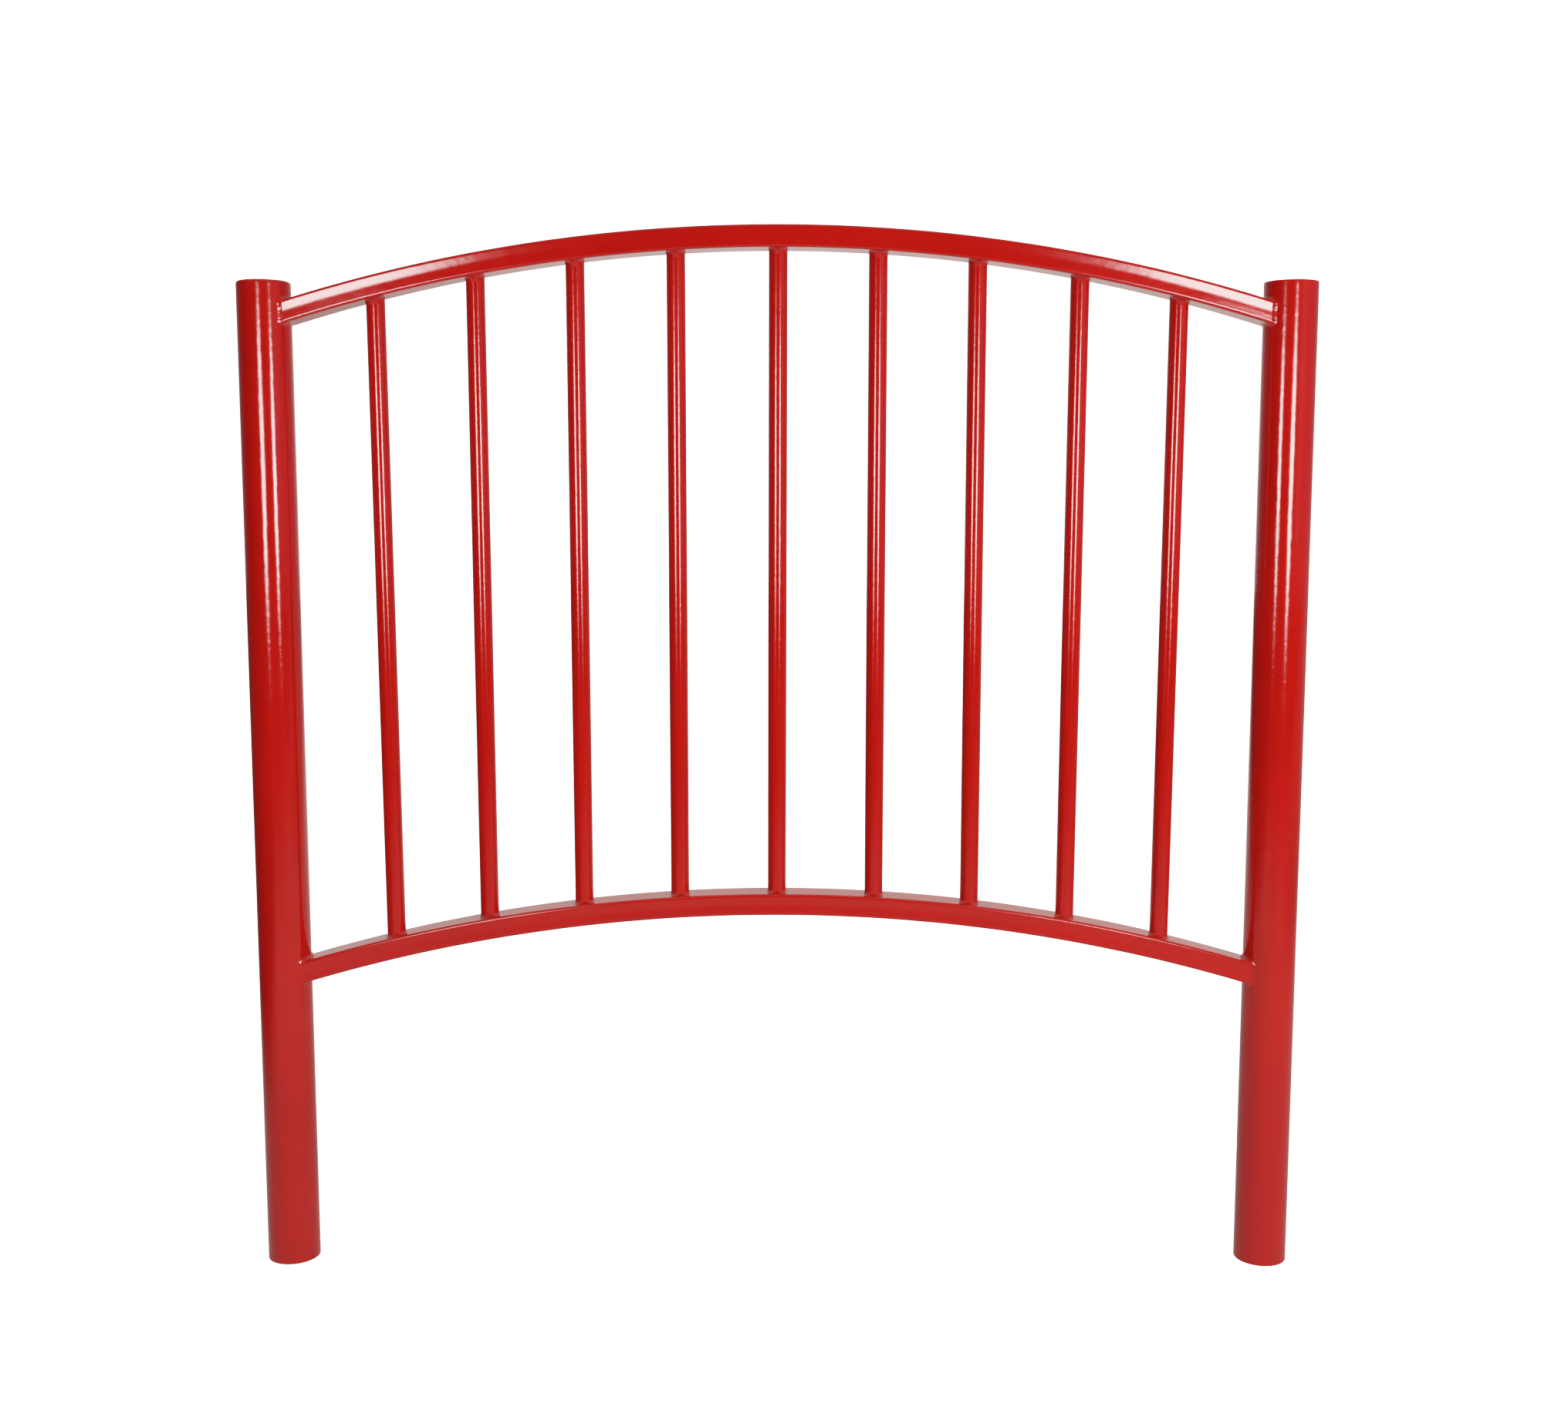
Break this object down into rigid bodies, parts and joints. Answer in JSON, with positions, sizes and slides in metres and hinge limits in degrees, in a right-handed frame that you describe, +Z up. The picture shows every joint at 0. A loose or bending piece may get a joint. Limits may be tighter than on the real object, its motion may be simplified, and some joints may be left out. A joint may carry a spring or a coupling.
{
  "type": "arched livestock barrier panel",
  "caption": "Fixed barrier panel of welded, painted steel tube: round end posts with free legs, arched top and bottom rails of box section, and evenly spaced vertical bars.",
  "frame": {"origin": "ground line (lower ends of the posts), midway between the two posts", "axes": "+Z up, +X along the panel towards the right post as seen from the front, +Y through the panel from front to back"},
  "size_m": [1.2164, 0.0604, 1.204],
  "materials": {
    "post_paint": "gloss",
    "cap_paint": "gloss",
    "rail_paint": "gloss",
    "bar_paint": "gloss",
    "weld_paint": "gloss"
  },
  "bodies": {
    "root": {"post_left": "post_paint", "post_right": "post_paint", "post_cap_left": "cap_paint", "post_cap_right": "cap_paint", "top_rail": "rail_paint", "bottom_rail": "rail_paint", "bar_1": "bar_paint", "bar_2": "bar_paint", "bar_3": "bar_paint", "bar_4": "bar_paint", "bar_5": "bar_paint", "bar_6": "bar_paint", "bar_7": "bar_paint", "bar_8": "bar_paint", "bar_9": "bar_paint", "weld_top_rail_left": "weld_paint", "weld_top_rail_right": "weld_paint", "weld_bottom_rail_left": "weld_paint", "weld_bottom_rail_right": "weld_paint", "weld_bar_1_top": "weld_paint", "weld_bar_1_bottom": "weld_paint", "weld_bar_2_top": "weld_paint", "weld_bar_2_bottom": "weld_paint", "weld_bar_3_top": "weld_paint", "weld_bar_3_bottom": "weld_paint", "weld_bar_4_top": "weld_paint", "weld_bar_4_bottom": "weld_paint", "weld_bar_5_top": "weld_paint", "weld_bar_5_bottom": "weld_paint", "weld_bar_6_top": "weld_paint", "weld_bar_6_bottom": "weld_paint", "weld_bar_7_top": "weld_paint", "weld_bar_7_bottom": "weld_paint", "weld_bar_8_top": "weld_paint", "weld_bar_8_bottom": "weld_paint", "weld_bar_9_top": "weld_paint", "weld_bar_9_bottom": "weld_paint"}
  },
  "joints": []
}
